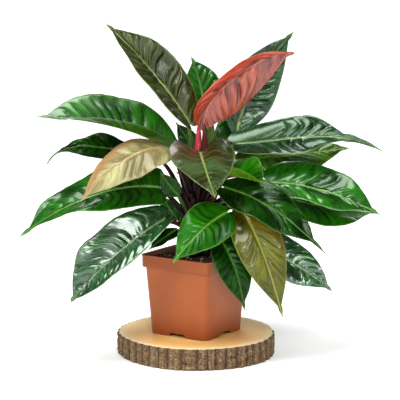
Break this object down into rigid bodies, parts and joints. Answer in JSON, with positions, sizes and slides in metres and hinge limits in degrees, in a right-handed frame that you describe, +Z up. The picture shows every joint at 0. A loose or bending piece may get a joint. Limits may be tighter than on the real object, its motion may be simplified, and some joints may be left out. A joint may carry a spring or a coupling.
{
  "type": "potted philodendron",
  "caption": "Bushy philodendron with glossy pointed leaves on long petioles, in a square plastic nursery pot on a round slice of log with its bark on.",
  "frame": {"origin": "centre of the log slice's flat underside", "axes": "+Z up; X and Y square to the pot's sides; the plant's show side looks towards a direction 34 degrees from -Y round towards +X"},
  "size_m": [0.4716, 0.4139, 0.5258],
  "materials": {
    "leaf_dark_green": "gloss",
    "leaf_green": "gloss",
    "leaf_bright": "gloss",
    "leaf_bronze": "gloss",
    "leaf_olive": "gloss",
    "leaf_yellow": "satin",
    "leaf_red": "gloss",
    "sheath_crimson": "satin",
    "petiole_maroon": "satin",
    "pot_terracotta_plastic": "satin",
    "potting_mix": "matte",
    "log_wood": "matte"
  },
  "bodies": {
    "root": {"bud_sheath": "sheath_crimson", "leaf_01_bronze_upper_left": "leaf_bronze", "leaf_02_green_left": "leaf_green", "leaf_03_dark_left": "leaf_dark_green", "leaf_04_yellow_left": "leaf_yellow", "leaf_05_green_lower_left": "leaf_green", "leaf_06_dark_lower_left": "leaf_dark_green", "leaf_07_bronze_front": "leaf_bronze", "leaf_08_green_top": "leaf_green", "leaf_09_red_new": "leaf_red", "leaf_10_dark_top_right": "leaf_dark_green", "leaf_11_dark_right": "leaf_dark_green", "leaf_12_olive_right_back": "leaf_green", "leaf_13_green_right": "leaf_green", "leaf_14_green_right_low": "leaf_green", "leaf_15_dark_right_front": "leaf_dark_green", "leaf_16_bright_curled": "leaf_bright", "leaf_17_olive_front_right": "leaf_olive", "leaf_18_green_low_right": "leaf_dark_green", "leaf_19_bright_front": "leaf_bright", "leaf_20_green_over_rim": "leaf_green", "leaf_21_small_low_left": "leaf_dark_green", "leaf_22_small_left": "leaf_green", "leaf_23_small_left_low": "leaf_green", "leaf_24_small_crown_left": "leaf_dark_green", "leaf_25_dark_crown_right": "leaf_dark_green", "leaf_26_back_left": "leaf_green", "leaf_27_back_middle": "leaf_dark_green", "leaf_28_back_right": "leaf_green", "leaf_29_back_low_left": "leaf_dark_green", "leaf_30_back_low_right": "leaf_green", "leaf_31_back_low_middle": "leaf_green", "leaf_32_back_upright": "leaf_green", "log_slice": "log_wood", "pot": "pot_terracotta_plastic", "potting_soil": "potting_mix", "stem_and_petioles": "petiole_maroon"}
  },
  "joints": []
}
